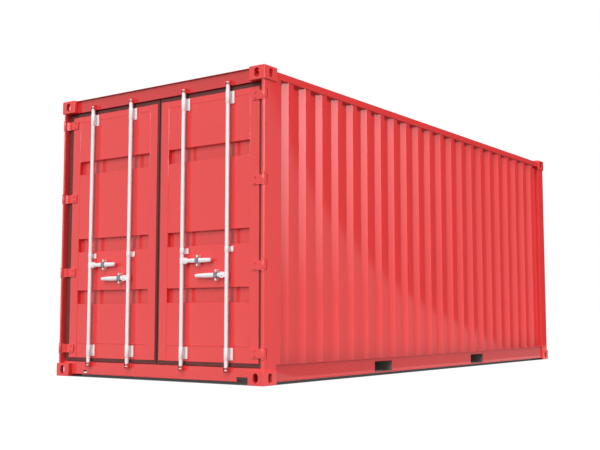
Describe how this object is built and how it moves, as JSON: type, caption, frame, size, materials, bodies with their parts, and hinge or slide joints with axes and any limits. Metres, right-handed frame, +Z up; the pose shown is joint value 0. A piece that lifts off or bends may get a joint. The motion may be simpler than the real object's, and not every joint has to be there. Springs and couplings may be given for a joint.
{
  "type": "shipping container",
  "caption": "Steel freight container with corrugated walls, corner castings, fork pockets and a pair of end doors that open on hinges and close with lock rods.",
  "frame": {"origin": "middle of the footprint, on the plane that the lower castings stand on", "axes": "+Z up, +Y along the container from the doors to the blind end, +X to the right seen from the doors"},
  "size_m": [2.438, 6.058, 2.591],
  "materials": {
    "red_paint": "satin red paint",
    "underside_coating": "dull dark protective coating",
    "casting_paint": "satin red paint on cast steel",
    "galvanised_steel": "pale galvanised steel",
    "gasket_rubber": "matt dark rubber",
    "floor_wood": "varnished marine plywood"
  },
  "bodies": {
    "root": {"bottom_corner_castings": "casting_paint", "top_corner_castings": "casting_paint", "door_post_right": "red_paint", "door_post_left": "red_paint", "blind_post_right": "red_paint", "blind_post_left": "red_paint", "top_side_rail_right": "red_paint", "top_side_rail_left": "red_paint", "bottom_side_rail_right": "red_paint", "bottom_side_rail_left": "red_paint", "door_header": "red_paint", "door_sill": "red_paint", "door_sill_ends": "red_paint", "blind_end_top_rail": "red_paint", "blind_end_sill": "red_paint", "side_wall_right": "red_paint", "side_wall_left": "red_paint", "blind_end_wall": "red_paint", "roof_panel": "red_paint", "floor_boards": "floor_wood", "floor_cross_members": "underside_coating", "fork_pockets": "underside_coating", "hinge_lugs": "red_paint", "hinge_pins": "galvanised_steel", "rod_keepers": "red_paint"},
    "left_door": {"left_door_frame": "red_paint", "left_door_panel": "red_paint", "left_door_gasket": "gasket_rubber", "left_door_hinge_blades": "red_paint", "left_door_rod_guides": "galvanised_steel", "left_door_handle_catches": "galvanised_steel"},
    "right_door": {"right_door_frame": "red_paint", "right_door_panel": "red_paint", "right_door_gasket": "gasket_rubber", "right_door_hinge_blades": "red_paint", "right_door_rod_guides": "galvanised_steel", "right_door_handle_catches": "galvanised_steel"},
    "left_outer_rod": {"left_outer_lock_rod": "galvanised_steel", "left_outer_rod_handle": "galvanised_steel"},
    "left_inner_rod": {"left_inner_lock_rod": "galvanised_steel", "left_inner_rod_handle": "galvanised_steel"},
    "right_inner_rod": {"right_inner_lock_rod": "galvanised_steel", "right_inner_rod_handle": "galvanised_steel"},
    "right_outer_rod": {"right_outer_lock_rod": "galvanised_steel", "right_outer_rod_handle": "galvanised_steel"}
  },
  "joints": [
    {"name": "left_door_hinge", "type": "hinge", "parent": "root", "child": "left_door", "pos_m": [-1.196, -3.012, 1.3], "axis": [0, 0, -1], "range_deg": [0, 262]},
    {"name": "right_door_hinge", "type": "hinge", "parent": "root", "child": "right_door", "pos_m": [1.196, -3.012, 1.3], "axis": [0, 0, 1], "range_deg": [0, 262]},
    {"name": "left_outer_rod_turn", "type": "hinge", "parent": "left_door", "child": "left_outer_rod", "pos_m": [-0.817, -3.005, 1.3], "axis": [0, 0, 1], "range_deg": [-100, 0]},
    {"name": "left_inner_rod_turn", "type": "hinge", "parent": "left_door", "child": "left_inner_rod", "pos_m": [-0.321, -3.005, 1.3], "axis": [0, 0, -1], "range_deg": [-100, 0]},
    {"name": "right_inner_rod_turn", "type": "hinge", "parent": "right_door", "child": "right_inner_rod", "pos_m": [0.321, -3.005, 1.3], "axis": [0, 0, 1], "range_deg": [-100, 0]},
    {"name": "right_outer_rod_turn", "type": "hinge", "parent": "right_door", "child": "right_outer_rod", "pos_m": [0.817, -3.005, 1.3], "axis": [0, 0, -1], "range_deg": [-100, 0]}
  ]
}
